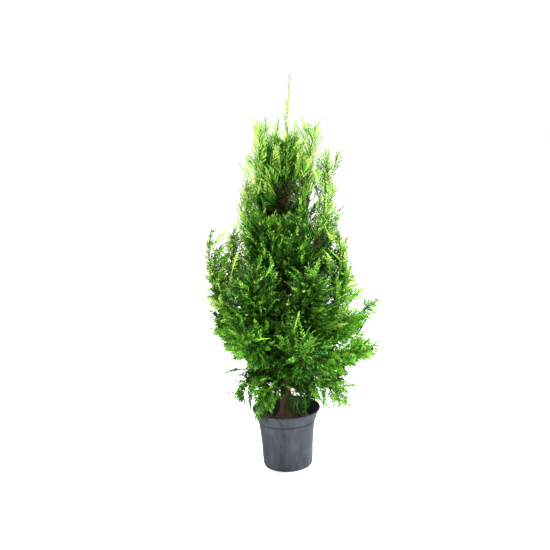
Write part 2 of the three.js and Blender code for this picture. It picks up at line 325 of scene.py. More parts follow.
class Shoots:
    """Many shoots at once. Each is a parabola: start + length · (share · way + share² / 2 · bend).

    way is its direction as it leaves, and face looks out of the flat side of its spray. tone is its colour's
    place among the tints, and limb the number of the limb that bears it.
    """

    def __init__(self, start, way, face, bend, length, tone, limb):
        self.start, self.way, self.bend = start, unit(way), bend
        self.face = square_to(face, self.way)
        self.length, self.tone, self.limb = length, tone, limb

    def point(self, share, pick=slice(None)):
        """Where each picked shoot is at the share of its length."""
        share = np.asarray(share, float).reshape(-1, 1)
        run = share * self.way[pick] + share**2 / 2 * self.bend[pick]
        return self.start[pick] + self.length[pick][:, None] * run

    def along(self, share, pick=slice(None)):
        """Each picked shoot's direction at the share of its length."""
        share = np.asarray(share, float).reshape(-1, 1)
        return unit(self.way[pick] + share * self.bend[pick])

    def only(self, keep):
        """The shoots that keep picks out."""
        return Shoots(self.start[keep], self.way[keep], self.face[keep], self.bend[keep],
                      self.length[keep], self.tone[keep], self.limb[keep])

    def outer(self, share):
        """The part of each shoot beyond the share, as a shoot of its own and a trace more aged."""
        return Shoots(self.point(all_alike(self, share)), self.way + share * self.bend, self.face,
                      (1 - share) * self.bend, self.length * (1 - share), self.tone - 0.1, self.limb)


def all_alike(shoots, value):
    """The same value for every shoot."""
    return np.full(len(shoots.length), value)


def joined(*groups):
    """Several groups of shoots as one."""
    fields = ("start", "way", "face", "bend", "length", "tone", "limb")
    return Shoots(*(np.concatenate([getattr(group, field) for group in groups]) for field in fields))


trunk_corners = corners_of("trunk")
trunk_levels = np.unique(trunk_corners[:, 2].round(4))
trunk_rings = [trunk_corners[np.abs(trunk_corners[:, 2] - z) < 0.0002] for z in trunk_levels]
trunk_centres = np.array([ring.mean(axis=0) for ring in trunk_rings])
trunk_radii = np.array([np.linalg.norm((ring - middle)[:, :2], axis=1).max()
                        for ring, middle in zip(trunk_rings, trunk_centres)])
trunk_foot, trunk_top = trunk_levels[[0, -1]]


def trunk_at(height):
    """The middle of the trunk at each height."""
    height = np.asarray(height, float)
    x, y = (np.interp(height, trunk_levels, trunk_centres[:, k]) for k in range(2))
    return np.stack([x, y, height], axis=-1)


bough_names = sorted(name[len("bough_"):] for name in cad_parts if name.startswith("bough_"))
limb_names = bough_names + ["leader"]
limb_tiers = [name.split("_")[0] for name in limb_names]
LEADER = len(bough_names)


def ring_of(corners):
    """The middle of some corners and their furthest distance from it."""
    middle = corners.mean(axis=0)
    return middle, np.linalg.norm(corners - middle, axis=1).max()


def bough_rows():
    """Each bough's next to last ring, last ring, radius at both, and the tip of its mass."""
    rows = []
    for name in bough_names:
        bough, mass = corners_of("bough_" + name), corners_of("foliage_" + name)
        tip = mass[np.argmax(np.linalg.norm(mass - bough.mean(axis=0), axis=1))]
        order = np.argsort(np.linalg.norm(bough - tip, axis=1))
        end, end_radius = ring_of(bough[order[:RING + 1]])
        before, before_radius = ring_of(bough[order[RING + 1:2 * RING + 1]])
        rows.append((before, end, before_radius, end_radius, tip))
    return [np.array(column) for column in zip(*rows)]


bough_before, bough_end, before_radius, end_radius, bough_tip = bough_rows()
leader_low, leader_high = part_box("foliage_leader")
leader_ends = trunk_at([leader_low.z, leader_high.z])
LIMB_ARC = 1.06  # how much longer a limb is than the straight line to its tip, because it curves


def limb_shoots(lean):
    """A parabola from each bough's end, in its direction, to the tip of its mass, and one up the leader.

    The lean moves the tips, and the bend is what brings a parabola that leaves along way to its tip.
    """
    start = np.concatenate([bough_end, leader_ends[:1]])
    tip = np.concatenate([bough_tip, leader_ends[1:]]) + lean
    way = np.concatenate([unit(bough_end - bough_before), [UP]])
    span = tip - start
    length = np.linalg.norm(span, axis=1) * LIMB_ARC
    bend = 2 * (span / length[:, None] - way)
    face = np.cross(way, UP + 1e-3 * way[:, [1, 2, 0]])
    return Shoots(start, way, face, bend, length, np.zeros(len(start)), np.arange(len(start)))


# %% [markdown]
# ## How each tier grows
# Near the top the boughs stand up and their shoots curve up with them, turned every way round. Lower down the
# boughs spread, and their shoots rise a little, lie flatter and hang at their ends. A habit names those
# differences, and the same rule grows every limb from its own habit.

# %% Habits
# each, own: square mm to each shoot, of the crown's surface and of the mass's own surface.
# open: degrees between limb and shoot. sag: how far a shoot leaves above the straight line to its end.
# roll: the spread in degrees of its turn from lying flat. leafy: the mm of it that bear leaves.
# space, longest: mm between its side twigs, and mm of the longest. fork: degrees between it and them.
# droop: how far they hang. gap, finger: mm between their fingers, and mm of the longest.
# wide: mm across a leaf. tone: its place among the tints, from 0 for bronze to 6 for lime.
TOP_HABIT = dict(each=145, own=1000, open=26, sag=-0.25, roll=80, leafy=92, space=7.5, longest=42, fork=31,
                 droop=-0.1, gap=60, finger=10, wide=2.2, tone=4.6)
LOWER_HABIT = dict(each=175, own=1300, open=42, sag=0.4, roll=70, leafy=84, space=5.8, longest=27, fork=48,
                   droop=0.4, gap=8, finger=8, wide=2.9, tone=3.7)
HABITS = {
    "leader": dict(TOP_HABIT, each=150, own=900, open=24, leafy=80, longest=38, fork=29, finger=9, wide=2.1,
                   tone=4.5),
    "top": TOP_HABIT,
    "upper": dict(each=150, own=1100, open=30, sag=-0.15, roll=75, leafy=86, space=6.8, longest=32, fork=34,
                  droop=0, gap=30, finger=9, wide=2.5, tone=3.5),
    "middle": dict(each=165, own=1200, open=42, sag=0.1, roll=75, leafy=82, space=6.2, longest=27, fork=42,
                   droop=0.25, gap=10, finger=8, wide=2.7, tone=3.0),
    "lower": LOWER_HABIT,
    "skirt": dict(LOWER_HABIT, droop=0.5, tone=3.2),
}
# Some boughs stand off the middle of their masses, by mm along X, Y and Z at the tip, and some take steps of
# tone over their tier, or steps less than 0 below it, partly for the age of their growth and partly as
# painted light and painted shade.
LEANS = {
    "leader": ((-6, 0, 0), 0.5), "top_1": ((26, 0, 0), 0.3), "top_2": ((-10, 0, 0), 1.1),
    "top_3": ((0, 0, 0), 0.5), "top_4": ((0, 0, -10), 0.5), "upper_1": ((-30, 0, 0), 1.2),
    "upper_2": ((14, 0, 0), 2.0), "upper_4": ((-26, 0, 0), 1.2), "upper_5": ((0, 0, 0), -0.3),
    "upper_6": ((0, 0, 0), -0.8), "middle_1": ((6, 0, -4), 1.7), "middle_2": ((0, 0, -20), 2.0),
    "middle_4": ((-6, 0, 0), 1.0), "middle_5": ((-7, 0, 0), 1.6), "middle_6": ((0, 0, 0), -0.7),
    "middle_7": ((0, 0, 0), -0.7), "lower_1": ((0, 0, 6), 1.4), "lower_2": ((8, 0, 12), 1.1),
    "lower_5": ((0, 0, 0), 0.4), "lower_6": ((18, 0, 36), -0.4), "lower_7": ((-4, 0, 40), -1.7),
    "skirt_1": ((4, 0, 0), 1.4), "skirt_2": ((46, 0, -26), 0.2), "skirt_4": ((-10, 0, 4), 0.6),
}
NO_LEAN = ((0, 0, 0), 0)
# Some bear fewer shoots than their tier, by share. Some stand clear of the crown with light on all sides, so
# no place on them counts as deeper in the crown than the clear depth.
SPARSE = {"leader": 0.75, "top_1": 0.65, "top_2": 0.75, "top_4": 0.75, "upper_1": 0.8, "upper_2": 0.6,
          "middle_1": 0.8, "middle_5": 0.8, "lower_1": 0.7, "lower_2": 0.7, "skirt_1": 0.65}
CLEAR = ("middle_1", "middle_2", "upper_1", "upper_2", "lower_1", "lower_2")
CLEAR_DEPTH = 22 * MM


def trait(name):
    """One trait of every limb's habit, as an array."""
    return np.array([HABITS[tier][name] for tier in limb_tiers], float)


leans = np.array([LEANS.get(name, NO_LEAN)[0] for name in limb_names]) * MM
lift_for_age_and_light = np.array([LEANS.get(name, NO_LEAN)[1] for name in limb_names])
bearing = np.array([SPARSE.get(name, 1) for name in limb_names])
clear = np.isin(limb_names, CLEAR)
limbs = limb_shoots(leans)
print("limbs", len(limb_names), "lengths in mm", (limbs.length / MM).round().astype(int))


# %% [markdown]
# ## The crown's outside
# Neighbouring boughs of a thuja grow into each other until the crown is one surface with only small hollows.
# So the shoots don't end on the single masses: rays from all round find how far the masses reach at each
# height and side, narrow hollows between them are closed, and the ends are spread over that surface.

# %% How far the crown reaches
def triangles_of(node):
    """The three corners of each triangle of a CAD node, shaped (triangles, 3, 3)."""
    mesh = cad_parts[node].data
    flat = np.empty(len(mesh.vertices) * 3)
    mesh.vertices.foreach_get("co", flat)
    order = np.empty(len(mesh.polygons) * 3, np.int32)
    mesh.polygons.foreach_get("vertices", order)
    return flat.reshape(-1, 3)[order].reshape(-1, 3, 3)


mass_triangles = [triangles_of("foliage_" + name) for name in limb_names]
crown_corners = np.concatenate(mass_triangles).reshape(-1, 3)
corner_numbers = np.arange(len(crown_corners)).reshape(-1, 3)
crown_tree = BVHTree.FromPolygons(crown_corners.tolist(), corner_numbers.tolist())
LEVELS, SIDES, STEP = 190, 180, 6 * MM
crown_low = crown_corners[:, 2].min()
side_angles = np.arange(SIDES) * 2 * math.pi / SIDES
side_ways = level_ways(side_angles)


def crown_reaches():
    """The masses' furthest distance from the trunk's line, by level and side, found by rays from outside.

    It is 0 where a ray meets none. Only the rays need a loop, because the tree answers them one by one.
    """
    far = 1.0
    reaches = np.zeros((LEVELS, SIDES))
    for level, middle in enumerate(trunk_at(crown_low + np.arange(LEVELS) * STEP)):
        for side, way in enumerate(side_ways):
            distance = crown_tree.ray_cast(Vector(middle + far * way), Vector(-way), far)[3]
            reaches[level, side] = far - distance if distance is not None else 0.0
    return reaches


def closed_over(reaches, levels, sides):
    """Narrow hollows filled: the largest reach within so many levels and sides, then the smallest."""
    for pick in (np.maximum, np.minimum):
        for axis, width in ((0, levels), (1, sides)):
            spread = reaches.copy()
            for shift in range(1, width + 1):
                for way in (-shift, shift):
                    moved = np.roll(reaches, way, axis=axis)
                    if axis == 0:
                        edge = slice(0, shift) if way > 0 else slice(-shift, None)
                        moved[edge] = reaches[edge]
                    spread = pick(spread, moved)
            reaches = spread
    return reaches


mass_reach = crown_reaches()
crown_reach = closed_over(mass_reach, levels=6, sides=7)
print("crown reach in mm", (crown_reach.max() / MM).round(),
      "hollows closed", int((crown_reach > mass_reach + MM).sum()))


def side_and_level(points):
    """Where points lie on the table of reaches: level, side, and distance from the trunk's line."""
    out = (points - trunk_at(points[:, 2]))[:, :2]
    level = np.clip(np.rint((points[:, 2] - crown_low) / STEP), 0, LEVELS - 1).astype(int)
    side = np.rint(np.arctan2(out[:, 1], out[:, 0]) / (2 * math.pi) * SIDES).astype(int) % SIDES
    return level, side, np.linalg.norm(out, axis=1)


def crown_depth(points):
    """How far each point lies inside the crown's surface, level with it, and less than 0 outside."""
    level, side, distance = side_and_level(points)
    return crown_reach[level, side] - distance


# %% [markdown]
# ## Where the shoots end
# A thuja's leaves sit where the light is, so most shoots end a little under the crown's surface, dealt out
# evenly over its area. A second share ends on the single masses' own surfaces, so that their undersides and
# tops are clothed too, and a few old shoots end deep inside, where they close the view through the crown.

# %% Random ends
UNFAIR = 1.4


def limb_rails():
    """Shares from 0 to nearly 1, and the points there on every limb, shaped (limbs, shares, 3)."""
    shares = np.linspace(0, 0.98, 50)
    return shares, np.stack([limbs.point(all_alike(limbs, share)) for share in shares], axis=1)


rail_shares, rails = limb_rails()


def nearest_limb(points):
    """The limb that passes each point nearest, or by chance one that is up to UNFAIR times as far."""
    away = np.stack([np.linalg.norm(points[:, None] - rail, axis=2).min(axis=1) for rail in rails], axis=1)
    return (away * chance.uniform(1, UNFAIR, away.shape)).argmin(axis=1)


def nearest_share(points, limb):
    """The share of its limb's length that each point is nearest to."""
    return rail_shares[np.linalg.norm(rails[limb] - points[:, None], axis=2).argmin(axis=1)]


def ends_round_crown():
    """Random ends by equal area of the crown's surface, at different depths under it, fewer in hollows."""
    usual_depth, spread = 8 * MM, 17 * MM
    slope = np.gradient(crown_reach, STEP, axis=0)
    area = crown_reach * (2 * math.pi / SIDES) * STEP * np.sqrt(1 + np.clip(slope, -2, 2) ** 2)
    densest = min(habit["each"] for habit in HABITS.values()) * MM**2
    count = int(area.sum() / densest)
    pick = chance.choice(area.size, count, p=area.ravel() / area.sum())
    level, side = np.divmod(pick, SIDES)
    reach = crown_reach[level, side] - chance.normal(usual_depth, spread, count).clip(-1.5 * spread, None)
    angle = side_angles[side] + chance.uniform(-0.5, 0.5, count) * (2 * math.pi / SIDES)
    height = crown_low + (level + chance.uniform(-0.5, 0.5, count)) * STEP
    ends = trunk_at(height) + reach[:, None] * level_ways(angle)
    limb = nearest_limb(ends)
    hollow = crown_reach[level, side] > mass_reach[level, side] + 15 * MM
    wanted = densest / (trait("each")[limb] * MM**2) * np.where(hollow, 0.6, 1)
    kept = chance.random(count) < wanted
    return ends[kept], limb[kept]


def ends_inside(count):
    """Random ends deep in the crown below its top, where the leaves are old, and dark partly as painted
    shade.
    """
    lowest, highest = 4, LEVELS - 60
    skin, furthest = 35 * MM, 130 * MM
    level, side = chance.integers(lowest, highest, count), chance.integers(0, SIDES, count)
    reach = (crown_reach[level, side] - skin).clip(0, furthest) * np.sqrt(chance.random(count))
    height = crown_low + level * STEP
    ends = trunk_at(height) + reach[:, None] * side_ways[side]
    return ends[reach > 0], nearest_limb(ends[reach > 0])


def ends_on(number):
    """Random ends spread over one mass's own surface."""
    usual_depth, spread = 6 * MM, 13 * MM
    faces = mass_triangles[number]
    normal = np.cross(faces[:, 1] - faces[:, 0], faces[:, 2] - faces[:, 0])
    area = np.linalg.norm(normal, axis=1) / 2
    count = int(area.sum() / MM**2 / HABITS[limb_tiers[number]]["own"])
    pick = chance.choice(len(faces), count, p=area / area.sum())
    share = np.sort(chance.random((count, 2)), axis=1)
    weights = np.stack([share[:, 0], share[:, 1] - share[:, 0], 1 - share[:, 1]], axis=1)
    place = (faces[pick] * weights[..., None]).sum(axis=1)
    inwards = chance.normal(usual_depth, spread, count).clip(-1.5 * spread, None)
    return place - unit(normal[pick]) * inwards[:, None]


round_ends, round_limbs = ends_round_crown()
mass_ends = [ends_on(number) for number in range(len(limb_names))]
ends = np.concatenate([round_ends, *mass_ends])
mass_limbs = np.repeat(np.arange(len(limb_names)), [len(own) for own in mass_ends])
limb_of_end = np.concatenate([round_limbs, mass_limbs])
end_depth = crown_depth(ends)
end_depth[clear[limb_of_end]] = end_depth[clear[limb_of_end]].clip(None, CLEAR_DEPTH)
ends += nearest_share(ends, limb_of_end)[:, None] * leans[limb_of_end]
print("round the crown", len(round_ends), "ends", len(ends))


# %% [markdown]
# ## Light and openings
# The crown isn't equally full. Deep inside, shoots die for want of light. The young top and its leader bear
# few. In front of the trunk, high up, a gap shows the bark, and in a few places the sky shows between two
# boughs. Each is a share of the ends that is left there, and chance picks which.

# %% The ends that are left
LIT, DARK, DARK_SHARE = 30 * MM, 90 * MM, 0.35
TOP_THINS, TOP_BARE, TOP_LOSS = 1.11, 1.2, 0.65
BARE_ROUND, BARE_LENGTH, BARE_SHARE = 42 * MM, 88 * MM, 0.1
GAP_MIDDLE, GAP_HEIGHT, GAP_WIDTH, GAP_RIGHT, GAP_SHARE = 1.0, 135 * MM, 80 * MM, 22 * MM, 0.1
GAP_SHADE, SHADE_WIDTH = 60 * MM, 1.6
OPENINGS = (
    # mm along X from and to, mm high from and to, and the share of the ends left there
    (102, 144, 800, 1000, 0.05),
    (190, 245, 592, 648, 0.3),
    (204, 260, 690, 800, 0.5),
    (130, 185, 272, 325, 0.2),
    (-195, -163, 630, 666, 0.15),
    (-400, -142, 275, 415, 0.1),
)


def gap_place(points):
    """How far each point lies from the gap's middle: 1 on its outline, and far off behind the trunk."""
    far_off = 9.0
    beside = points[:, 0] - trunk_at(points[:, 2])[:, 0] - GAP_RIGHT
    away = np.hypot(2 * beside / GAP_WIDTH, 2 * (points[:, 2] - GAP_MIDDLE) / GAP_HEIGHT)
    return np.where(points[:, 1] < 0, away, far_off)


def share_left(points):
    """The share of ends left at each point: less than 1 in the gap and, from front to back, in an opening."""
    share = np.where(gap_place(points) < 1, GAP_SHARE, 1.0)
    for left, right, low, high, kept in OPENINGS:
        within = (points[:, 0] > left * MM) & (points[:, 0] < right * MM)
        within &= (points[:, 2] > low * MM) & (points[:, 2] < high * MM)
        share[within] = kept
    return share


kept = chance.random(len(ends)) < 1 - (1 - DARK_SHARE) * eased((end_depth - LIT) / (DARK - LIT))
top_left = 1 - TOP_LOSS * eased((ends[:, 2] - TOP_THINS) / (TOP_BARE - TOP_THINS))
kept &= chance.random(len(ends)) < bearing[limb_of_end] * top_left
round_leader = np.linalg.norm((ends - trunk_at(ends[:, 2]))[:, :2], axis=1) < BARE_ROUND
bare_leader = round_leader & (ends[:, 2] > leader_high.z - BARE_LENGTH)
kept &= chance.random(len(ends)) < np.where(bare_leader, BARE_SHARE, share_left(ends))
# Painted shade: round the gap in front of the trunk the leaves take darker tints, as if up to GAP_SHADE
# deeper.
end_depth += GAP_SHADE * np.exp(-(gap_place(ends) / SHADE_WIDTH) ** 2)
inner_ends, inner_limbs = ends_inside(count=1500)
inner_kept = chance.random(len(inner_ends)) < share_left(inner_ends)
inner_ends, inner_limbs = inner_ends[inner_kept], inner_limbs[inner_kept]
print("ends left", int(kept.sum()), "and inside", len(inner_ends))


# %% [markdown]
# ## Shoots that fill the crown
# Each shoot grows from the limb of its end. It leaves the limb far enough behind that end to open at its
# habit's angle, and curves up or hangs on its way. Short sprays straight from the trunk hide it where the
# boughs are few, and each limb carries on to its tip in two leading shoots.

# %% From the limbs to the ends
def rolled(way, roll):
    """The facing of a spray that lies flat, turned about its own way by the roll."""
    flat = square_to(np.broadcast_to(UP, way.shape) + 1e-3 * way[:, [1, 2, 0]], way)
    edge = np.cross(way, flat)
    return np.cos(roll)[:, None] * flat + np.sin(roll)[:, None] * edge


def shoots_to(ends, limb, depth):
    """A shoot to each end from its limb: it starts behind the nearest place by distance / tan(open).

    The tone falls with the depth under the crown's surface, partly for age and partly as painted shade, rises
    out beyond it as painted light, and rises towards the tip of the limb.
    """
    widest, first_share, last_share = 75, -0.12, 0.95
    arc = 1.03
    waver = 0.28
    gaps = np.linalg.norm(rails[limb] - ends[:, None, :], axis=2)
    nearest = gaps.argmin(axis=1)
    opening = trait("open")[limb] * np.exp(chance.normal(0, 0.3, len(limb)))
    back = gaps.min(axis=1) / np.tan(np.radians(opening.clip(None, widest)))
    share = np.clip(rail_shares[nearest] - back / limbs.length[limb], first_share, last_share)
    start = limbs.point(share, limb)
    span = ends - start
    length = np.linalg.norm(span, axis=1) * arc
    chord = span / length[:, None]
    way = unit(chord + trait("sag")[limb][:, None] * UP + waver * chance.normal(size=chord.shape))
    face = rolled(way, np.radians(chance.normal(0, trait("roll")[limb])))
    # Painted shade deep in the crown and painted light out past its surface, partly for the age of the
    # leaves.
    darker_for_age_and_shade = np.clip(depth / (26 * MM), -1.1, 2.6)
    fresher = 1.3 * (rail_shares[nearest] - 0.7)
    tone = trait("tone")[limb] + lift_for_age_and_light[limb] + chance.normal(0, 0.6, len(limb)) + fresher - darker_for_age_and_shade
    return Shoots(start, way, face, 2 * (chord - way), length, tone, limb)


def leading_shoots(share, turn):
    """The shoots that carry each limb on from the share to its tip, with their faces at the turn."""
    everyone = np.arange(len(limbs.length))
    shares = all_alike(limbs, share)
    start, way = limbs.point(shares), limbs.along(shares)
    length = limbs.length * (1 - share)
    face = rolled(way, turn + chance.normal(0, 0.3, len(everyone)))
    return Shoots(start, way, face, limbs.bend * (1 - share), length, trait("tone") + 0.5, everyone)


def sprays_on_trunk(number, lowest, highest, longest, rise, tone):
    """Short sprays straight from the trunk, which hide it. Rise is the least they climb for each step out.

    Each counts to the limb that passes its end, so that its leaves join that limb's piece.
    """
    height, turn = chance.uniform(lowest, highest, number), chance.uniform(0, 2 * math.pi, number)
    out = level_ways(turn)
    way = unit(out + (rise + chance.random((number, 1))) * UP)
    length = longest * chance.uniform(0.5, 1, number)
    start = trunk_at(height)
    limb = nearest_limb(start + length[:, None] * way)
    face = rolled(way, chance.uniform(0, math.pi, number))
    bend = 0.3 * chance.normal(size=(number, 3))
    return Shoots(start, way, face, bend, length, chance.normal(tone, 0.6, number), limb)


lowest_boughs, mid_crown, top_boughs = 0.33, 0.8, leader_low.z + 20 * MM
# Painted shade: the shoots inside take tints darker by INNER_SHADE of depth, partly for their age.
INNER_SHADE = 20 * MM  # the old shoots inside are as dark as if they lay this much deeper
sprays = joined(
    shoots_to(ends[kept], limb_of_end[kept], end_depth[kept]),
    shoots_to(inner_ends, inner_limbs, crown_depth(inner_ends) + INNER_SHADE),
    # Painted shade: the first three sets of sprays on the trunk take low tones, dark as the shade by the
    # trunk.
    sprays_on_trunk(330, lowest_boughs, mid_crown, longest=115 * MM, rise=0.1, tone=1.4),
    sprays_on_trunk(190, mid_crown, top_boughs, longest=66 * MM, rise=0.3, tone=1.3),
    sprays_on_trunk(140, lowest_boughs, 0.62, longest=130 * MM, rise=-0.3, tone=1.6),
    sprays_on_trunk(150, top_boughs, leader_high.z - 160 * MM, longest=75 * MM, rise=1.2, tone=3.0),
    leading_shoots(share=0.62, turn=0.2),
    leading_shoots(share=0.7, turn=1.7),
)
print("sprays", len(sprays.length), "mean length in mm", round(float(sprays.length.mean() / MM)))


# %% [markdown]
# ## The sprays that stand out
# Even sprays make a crown as smooth as a clipped hedge. What gives this plant its character are the sprays
# that stand out of it: the loose bough on the left, long fronds on the right, bright ones low in front, dark
# dead ones on the lower left, and those that hang over the pot's rim. They could be left to chance, but then
# each seed would make another plant, so each is a small cluster placed on its limb. A cluster's tone is
# partly painted light, as on the bright ones low in front, and partly painted shade, as on those deep in the
# crown.

# %% Clusters of outer sprays
OUTER_SPRAYS = {
    # by limb, the middle of a cluster of ends: degrees round the trunk, mm from it, mm high, and its tone,
    # which is partly painted light and painted shade
    "top_1": ((180, 136, 1094, 4.6), (181, 128, 1104, 4.6), (180, 110, 1208, 5.0), (178, 64, 1192, 5.0),
        (184, 38, 1206, 5.0)),
    "top_2": ((0, 32, 1208, 5.2), (356, 62, 1192, 5.0), (356, 86, 1190, 5.0), (354, 108, 1202, 5.0)),
    "upper_1": ((357, 142, 1104, 4.6), (357, 164, 1108, 4.6), (0, 122, 1070, 4.6), (356, 186, 916, 4.4),
        (352, 186, 886, 4.2), (2, 188, 850, 4.2), (355, 150, 830, 2.2), (0, 156, 790, 2.2),
        (5, 165, 812, 2.4), (358, 172, 862, 3.8), (356, 170, 838, 3.6)),
    "upper_2": ((180, 118, 975, 5.6), (178, 126, 940, 5.4), (183, 108, 1000, 5.6)),
    "upper_5": ((290, 84, 900, 4.0), (270, 70, 846, 3.8), (275, 92, 905, 4.6), (282, 88, 890, 4.4),
        (285, 72, 888, 4.2), (275, 84, 862, 3.8)),
    "upper_6": ((250, 76, 868, 4.0), (262, 84, 884, 4.2), (258, 92, 912, 4.6), (266, 92, 884, 4.4),
        (245, 84, 925, 4.4), (255, 62, 880, 4.0)),
    "middle_1": ((180, 204, 748, 4.2), (178, 196, 714, 3.0), (186, 248, 678, 4.0), (184, 254, 650, 4.0),
        (181, 257, 614, 4.0), (182, 180, 690, 2.6), (181, 184, 740, 3.6), (184, 190, 776, 4.0),
        (183, 208, 790, 4.4), (182, 186, 640, 2.6), (186, 200, 670, 3.0), (180, 196, 800, 4.4),
        (182, 212, 772, 4.4), (180, 176, 768, 2.8), (184, 204, 738, 2.8), (178, 188, 720, 2.8),
        (182, 216, 716, 4.0), (194, 184, 700, 4.5), (188, 222, 700, 4.4), (190, 200, 726, 4.4)),
    "middle_2": ((172, 176, 716, 2.4), (176, 162, 770, 2.8), (184, 168, 660, 2.6), (184, 176, 684, 4.2),
        (188, 168, 700, 4.2), (182, 184, 706, 4.2), (200, 170, 706, 4.5), (196, 176, 676, 4.5),
        (198, 160, 728, 4.6), (200, 156, 752, 4.2)),
    "middle_5": ((0, 240, 702, 5.6), (356, 244, 672, 5.6), (357, 284, 632, 5.0), (352, 270, 618, 4.8),
        (2, 258, 598, 5.0), (356, 246, 650, 5.6), (355, 160, 760, 2.4), (350, 168, 730, 2.8),
        (0, 160, 800, 2.4), (358, 170, 780, 2.4), (352, 200, 676, 5.0), (4, 155, 770, 2.4),
        (350, 150, 692, 3.0)),
    "middle_6": ((270, 142, 742, 2.6), (278, 142, 726, 2.6), (300, 190, 640, 3.8), (295, 186, 655, 3.8),
        (285, 150, 700, 2.8), (275, 152, 660, 2.8), (280, 164, 622, 3.0)),
    "middle_7": ((262, 138, 716, 2.6), (255, 142, 738, 2.4), (205, 168, 690, 4.5), (265, 150, 680, 2.8),
        (270, 162, 640, 3.0), (268, 168, 606, 3.2), (238, 180, 610, 4.2), (232, 186, 590, 4.2)),
    "lower_1": ((0, 304, 560, 5.0), (353, 278, 506, 4.8), (352, 258, 486, 4.6), (350, 255, 520, 4.6),
        (346, 248, 500, 4.4), (352, 238, 545, 4.4)),
    "lower_2": ((342, 332, 474, 6.0), (338, 258, 384, 4.0), (342, 230, 340, 3.6), (340, 206, 362, 2.4),
        (336, 212, 342, 2.2), (340, 205, 392, 3.2), (336, 200, 404, 3.4), (341, 222, 398, 3.2),
        (305, 225, 512, 5.2), (335, 190, 432, 2.2), (338, 184, 420, 2.0), (332, 195, 425, 2.2),
        (342, 236, 400, 3.2), (340, 222, 366, 2.2), (344, 262, 486, 4.4), (341, 262, 395, 3.6),
        (338, 198, 440, 1.6), (330, 188, 430, 1.6), (343, 202, 412, 1.8), (339, 212, 352, 1.6),
        (346, 278, 500, 4.8), (342, 286, 482, 4.8), (350, 270, 522, 4.6)),
    "lower_5": ((178, 234, 566, 3.6), (180, 222, 582, 3.4), (180, 230, 520, 3.4), (184, 212, 500, 3.2),
        (184, 196, 450, 2.8), (177, 232, 548, 2.8), (182, 226, 534, 2.8), (175, 222, 506, 2.6),
        (180, 258, 606, 3.0), (181, 254, 588, 2.6), (179, 246, 562, 2.6), (182, 226, 470, 2.2),
        (184, 214, 456, 2.2)),
    "lower_6": ((225, 166, 486, 5.2), (214, 172, 470, 5.0), (248, 172, 500, 5.0), (222, 178, 478, 5.2),
        (232, 168, 462, 5.0), (228, 160, 452, 5.2), (240, 182, 470, 5.2), (232, 172, 440, 5.6),
        (226, 156, 436, 5.6), (238, 186, 446, 5.6), (215, 140, 430, 5.2), (240, 182, 575, 4.0)),
    "lower_7": ((275, 205, 540, 5.0), (285, 212, 518, 5.2), (266, 200, 525, 5.0), (298, 225, 518, 5.2),
        (292, 222, 530, 5.2), (270, 200, 592, 3.8), (262, 200, 580, 3.8)),
    "skirt_1": ((350, 134, 284, 2.2), (348, 254, 290, 4.4), (343, 226, 270, 4.4), (338, 196, 242, 4.2),
        (335, 180, 224, 4.2), (341, 206, 238, 4.2), (332, 168, 228, 4.0), (342, 200, 322, 2.4),
        (340, 192, 344, 2.4), (342, 216, 352, 2.0), (340, 228, 340, 2.2), (10, 108, 224, 1.4),
        (14, 86, 252, 1.4), (8, 96, 228, 1.8), (12, 70, 262, 1.8), (350, 92, 254, 2.0),
        (20, 110, 234, 1.6), (0, 50, 250, 1.6), (30, 76, 244, 1.6), (355, 112, 238, 2.2),
        (318, 66, 188, 2.0), (332, 78, 192, 2.2), (304, 58, 186, 1.8), (344, 206, 358, 1.6),
        (334, 200, 340, 1.6)),
    "skirt_2": ((182, 217, 338, 1.2), (181, 196, 334, 1.2), (180, 176, 330, 1.4), (184, 214, 280, 1.2),
        (185, 196, 276, 1.4), (187, 180, 246, 1.6), (190, 166, 236, 1.8), (195, 144, 226, 2.4),
        (204, 134, 222, 2.6), (184, 132, 350, 2.0), (182, 150, 340, 1.8)),
    "skirt_3": ((80, 60, 300, 1.0), (100, 50, 310, 1.0), (60, 62, 290, 1.0), (40, 100, 236, 1.2),
        (28, 112, 226, 1.4), (46, 84, 250, 1.0), (34, 96, 240, 1.2), (30, 84, 266, 1.2),
        (20, 66, 282, 1.2), (60, 118, 252, 1.8), (72, 138, 268, 2.0), (42, 128, 240, 2.2),
        (84, 108, 236, 1.6), (104, 120, 244, 1.8)),
    "skirt_4": ((214, 118, 206, 2.0), (222, 124, 190, 2.0), (234, 96, 225, 2.2), (210, 116, 212, 1.8),
        (218, 120, 196, 2.0), (226, 112, 186, 1.8), (205, 108, 226, 1.8)),
}
CLUSTER = 4
DEAD_BOUGH = "skirt_2"


def outer_sprays():
    """The sprays of every cluster, whose ends lie round the cluster's middle by chance.

    At the sides they stand on edge, in planes through the trunk. In front and behind they show their flat
    side, and on the dead bough at the lower left they lie flat.
    """
    at_the_side = 0.6
    rows = [(name, *row) for name, places in OUTER_SPRAYS.items() for row in places for _ in range(CLUSTER)]
    names, degrees, distance, height, tone = zip(*rows)
    limb = np.array([limb_names.index(name) for name in names])
    out = level_ways(np.radians(degrees))
    ends = trunk_at(np.array(height) * MM) + np.array(distance)[:, None] * MM * out
    ends += chance.normal(0, 10 * MM, ends.shape)
    outer = shoots_to(ends, limb, np.zeros(len(limb)))
    across = np.cross(UP, out)
    facing = np.where(np.abs(out[:, 1:2]) < at_the_side, across, np.cross(outer.way, across))
    facing[np.array(names) == DEAD_BOUGH] = UP
    outer.face = square_to(facing + 0.3 * chance.normal(size=out.shape), outer.way)
    outer.tone = tone + chance.normal(0, 0.4, len(limb))
    return outer


outer = outer_sprays()
sprays = joined(sprays, outer)
print("sprays that stand out", len(outer.length))


# %% [markdown]
# ## The leader's tip
# The leader ends in a whip that has outgrown the crown this year. It is nearly bare, with a few short shoots
# that climb beside it and grow shorter to its tip, each turned from the one below by the golden angle.

